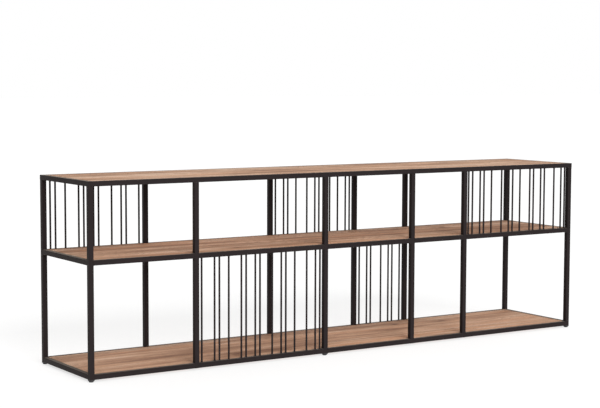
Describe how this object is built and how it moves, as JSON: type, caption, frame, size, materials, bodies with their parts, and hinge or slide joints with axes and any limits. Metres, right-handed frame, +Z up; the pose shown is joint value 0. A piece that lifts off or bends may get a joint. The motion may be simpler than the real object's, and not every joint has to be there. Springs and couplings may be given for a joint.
{
  "type": "tv stand",
  "caption": "Long low television stand: welded black square-tube frame, flush wooden shelves on three levels, and grilles of upright round bars in some bays.",
  "frame": {"origin": "on the floor, under the middle of the stand", "axes": "+X to the right along the stand's length, +Y to the back, +Z up"},
  "size_m": [2.2, 0.41, 0.69],
  "materials": {
    "black_steel": "satin powder coat, fine texture",
    "shelf_wood": "light brown edge-glued boards, grain along the length, matt clear lacquer",
    "black_plastic": "moulded, matt",
    "zinc_screws": "zinc plated"
  },
  "bodies": {
    "root": {"front_post_1": "black_steel", "front_post_2": "black_steel", "front_post_3": "black_steel", "front_post_4": "black_steel", "front_post_5": "black_steel", "front_post_6": "black_steel", "back_post_1": "black_steel", "back_post_2": "black_steel", "back_post_3": "black_steel", "back_post_4": "black_steel", "back_post_5": "black_steel", "back_post_6": "black_steel", "bottom_front_rail_1": "black_steel", "bottom_front_rail_2": "black_steel", "bottom_front_rail_3": "black_steel", "bottom_front_rail_4": "black_steel", "bottom_front_rail_5": "black_steel", "bottom_back_rail_1": "black_steel", "bottom_back_rail_2": "black_steel", "bottom_back_rail_3": "black_steel", "bottom_back_rail_4": "black_steel", "bottom_back_rail_5": "black_steel", "middle_front_rail_1": "black_steel", "middle_front_rail_2": "black_steel", "middle_front_rail_3": "black_steel", "middle_front_rail_4": "black_steel", "middle_front_rail_5": "black_steel", "middle_back_rail_1": "black_steel", "middle_back_rail_2": "black_steel", "middle_back_rail_3": "black_steel", "middle_back_rail_4": "black_steel", "middle_back_rail_5": "black_steel", "bottom_left_rail": "black_steel", "bottom_right_rail": "black_steel", "middle_left_rail": "black_steel", "middle_right_rail": "black_steel", "top_front_rail": "black_steel", "top_back_rail": "black_steel", "top_left_rail": "black_steel", "top_right_rail": "black_steel", "bottom_shelf": "shelf_wood", "middle_shelf": "shelf_wood", "top_shelf": "shelf_wood", "bottom_bearers": "black_steel", "middle_bearers": "black_steel", "top_bearers": "black_steel", "bottom_shelf_screws": "zinc_screws", "middle_shelf_screws": "zinc_screws", "top_shelf_screws": "zinc_screws", "grille_1": "black_steel", "grille_2": "black_steel", "grille_3": "black_steel", "grille_4": "black_steel", "grille_5": "black_steel", "feet": "black_plastic", "post_plugs": "black_plastic"}
  },
  "joints": []
}
